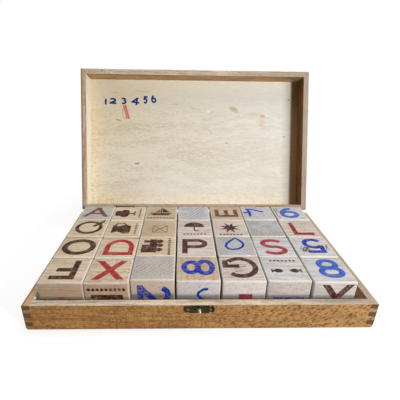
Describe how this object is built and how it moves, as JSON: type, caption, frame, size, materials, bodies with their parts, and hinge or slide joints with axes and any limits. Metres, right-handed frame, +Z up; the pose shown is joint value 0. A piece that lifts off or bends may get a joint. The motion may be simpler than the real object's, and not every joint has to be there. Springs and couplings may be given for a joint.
{
  "type": "alphabet block set",
  "caption": "Hinged finger-jointed wooden case, open, with rows of stamped letter and number cubes; lid and catch swing, cubes lift out.",
  "frame": {"origin": "middle of the tray's underside, on the surface that it stands on", "axes": "+X along the length, to the right as the open case faces the user; +Y to the hinges; +Z up"},
  "size_m": [0.27, 0.2556, 0.1794],
  "materials": {
    "case_wood": "clear satin varnish on golden-brown beech, sawn rims left bare",
    "plywood": "bare pale plywood with glue specks and scuffs",
    "block_wood": "bare sanded beech, stamped in brown, red and blue ink",
    "hinge_brass": "rolled brass, slightly dulled",
    "screw_brass": "brass screw, slotted",
    "aged_brass": "antiqued, nearly black in the hollows",
    "bright_brass": "worn bright by use"
  },
  "bodies": {
    "tray": {"tray_front": "case_wood", "tray_back": "case_wood", "tray_left": "case_wood", "tray_right": "case_wood", "tray_floor": "plywood", "tray_leaf_left": "hinge_brass", "tray_leaf_right": "hinge_brass", "hinge_pin_left": "hinge_brass", "hinge_pin_right": "hinge_brass", "tray_hinge_screws": "screw_brass", "catch_plate": "aged_brass", "catch_stud": "bright_brass", "catch_nails": "bright_brass"},
    "lid": {"lid_front": "case_wood", "lid_back": "case_wood", "lid_left": "case_wood", "lid_right": "case_wood", "lid_panel": "plywood", "lid_leaf_left": "hinge_brass", "lid_leaf_right": "hinge_brass", "lid_hinge_screws": "screw_brass", "hasp_plate": "aged_brass", "hasp_nails": "bright_brass", "hasp_pin": "bright_brass"},
    "hasp": {"hasp_tongue": "bright_brass"},
    "block_f": {"block_f": "block_wood"},
    "block_x": {"block_x": "block_wood"},
    "block_plain_front": {"block_plain_front": "block_wood"},
    "block_eight_turned": {"block_eight_turned": "block_wood"},
    "block_g": {"block_g": "block_wood"},
    "block_twin_fish": {"block_twin_fish": "block_wood"},
    "block_eight": {"block_eight": "block_wood"},
    "block_o": {"block_o": "block_wood"},
    "block_d": {"block_d": "block_wood"},
    "block_train": {"block_train": "block_wood"},
    "block_p": {"block_p": "block_wood"},
    "block_ink_loop": {"block_ink_loop": "block_wood"},
    "block_s": {"block_s": "block_wood"},
    "block_five": {"block_five": "block_wood"},
    "block_q": {"block_q": "block_wood"},
    "block_jug": {"block_jug": "block_wood"},
    "block_pane": {"block_pane": "block_wood"},
    "block_umbrella": {"block_umbrella": "block_wood"},
    "block_star": {"block_star": "block_wood"},
    "block_plain_back": {"block_plain_back": "block_wood"},
    "block_l": {"block_l": "block_wood"},
    "block_a": {"block_a": "block_wood"},
    "block_tree": {"block_tree": "block_wood"},
    "block_boat": {"block_boat": "block_wood"},
    "block_sawn": {"block_sawn": "block_wood"},
    "block_e": {"block_e": "block_wood"},
    "block_ink_four": {"block_ink_four": "block_wood"},
    "block_six": {"block_six": "block_wood"}
  },
  "joints": [
    {"name": "lid_hinge", "type": "hinge", "parent": "tray", "child": "lid", "pos_m": [0, 0.0845, 0.0241], "axis": [-1, 0, 0], "range_deg": [-111.4, 0]},
    {"name": "hasp_hinge", "type": "hinge", "parent": "lid", "child": "hasp", "pos_m": [-0.0024, 0.15254, 0.17825], "axis": [1, 0, 0], "range_deg": [0, 180]},
    {"name": "lift_f", "type": "slide", "parent": "tray", "child": "block_f", "axis": [0, 0, 1], "range_m": [0, 0.045]},
    {"name": "lift_x", "type": "slide", "parent": "tray", "child": "block_x", "axis": [0, 0, 1], "range_m": [0, 0.045]},
    {"name": "lift_plain_front", "type": "slide", "parent": "tray", "child": "block_plain_front", "axis": [0, 0, 1], "range_m": [0, 0.045]},
    {"name": "lift_eight_turned", "type": "slide", "parent": "tray", "child": "block_eight_turned", "axis": [0, 0, 1], "range_m": [0, 0.045]},
    {"name": "lift_g", "type": "slide", "parent": "tray", "child": "block_g", "axis": [0, 0, 1], "range_m": [0, 0.045]},
    {"name": "lift_twin_fish", "type": "slide", "parent": "tray", "child": "block_twin_fish", "axis": [0, 0, 1], "range_m": [0, 0.045]},
    {"name": "lift_eight", "type": "slide", "parent": "tray", "child": "block_eight", "axis": [0, 0, 1], "range_m": [0, 0.045]},
    {"name": "lift_o", "type": "slide", "parent": "tray", "child": "block_o", "axis": [0, 0, 1], "range_m": [0, 0.045]},
    {"name": "lift_d", "type": "slide", "parent": "tray", "child": "block_d", "axis": [0, 0, 1], "range_m": [0, 0.045]},
    {"name": "lift_train", "type": "slide", "parent": "tray", "child": "block_train", "axis": [0, 0, 1], "range_m": [0, 0.045]},
    {"name": "lift_p", "type": "slide", "parent": "tray", "child": "block_p", "axis": [0, 0, 1], "range_m": [0, 0.045]},
    {"name": "lift_ink_loop", "type": "slide", "parent": "tray", "child": "block_ink_loop", "axis": [0, 0, 1], "range_m": [0, 0.045]},
    {"name": "lift_s", "type": "slide", "parent": "tray", "child": "block_s", "axis": [0, 0, 1], "range_m": [0, 0.045]},
    {"name": "lift_five", "type": "slide", "parent": "tray", "child": "block_five", "axis": [0, 0, 1], "range_m": [0, 0.045]},
    {"name": "lift_q", "type": "slide", "parent": "tray", "child": "block_q", "axis": [0, 0, 1], "range_m": [0, 0.045]},
    {"name": "lift_jug", "type": "slide", "parent": "tray", "child": "block_jug", "axis": [0, 0, 1], "range_m": [0, 0.045]},
    {"name": "lift_pane", "type": "slide", "parent": "tray", "child": "block_pane", "axis": [0, 0, 1], "range_m": [0, 0.045]},
    {"name": "lift_umbrella", "type": "slide", "parent": "tray", "child": "block_umbrella", "axis": [0, 0, 1], "range_m": [0, 0.045]},
    {"name": "lift_star", "type": "slide", "parent": "tray", "child": "block_star", "axis": [0, 0, 1], "range_m": [0, 0.045]},
    {"name": "lift_plain_back", "type": "slide", "parent": "tray", "child": "block_plain_back", "axis": [0, 0, 1], "range_m": [0, 0.045]},
    {"name": "lift_l", "type": "slide", "parent": "tray", "child": "block_l", "axis": [0, 0, 1], "range_m": [0, 0.045]},
    {"name": "lift_a", "type": "slide", "parent": "tray", "child": "block_a", "axis": [0, 0, 1], "range_m": [0, 0.045]},
    {"name": "lift_tree", "type": "slide", "parent": "tray", "child": "block_tree", "axis": [0, 0, 1], "range_m": [0, 0.045]},
    {"name": "lift_boat", "type": "slide", "parent": "tray", "child": "block_boat", "axis": [0, 0, 1], "range_m": [0, 0.045]},
    {"name": "lift_sawn", "type": "slide", "parent": "tray", "child": "block_sawn", "axis": [0, 0, 1], "range_m": [0, 0.045]},
    {"name": "lift_e", "type": "slide", "parent": "tray", "child": "block_e", "axis": [0, 0, 1], "range_m": [0, 0.045]},
    {"name": "lift_ink_four", "type": "slide", "parent": "tray", "child": "block_ink_four", "axis": [0, 0, 1], "range_m": [0, 0.045]},
    {"name": "lift_six", "type": "slide", "parent": "tray", "child": "block_six", "axis": [0, 0, 1], "range_m": [0, 0.045]}
  ]
}
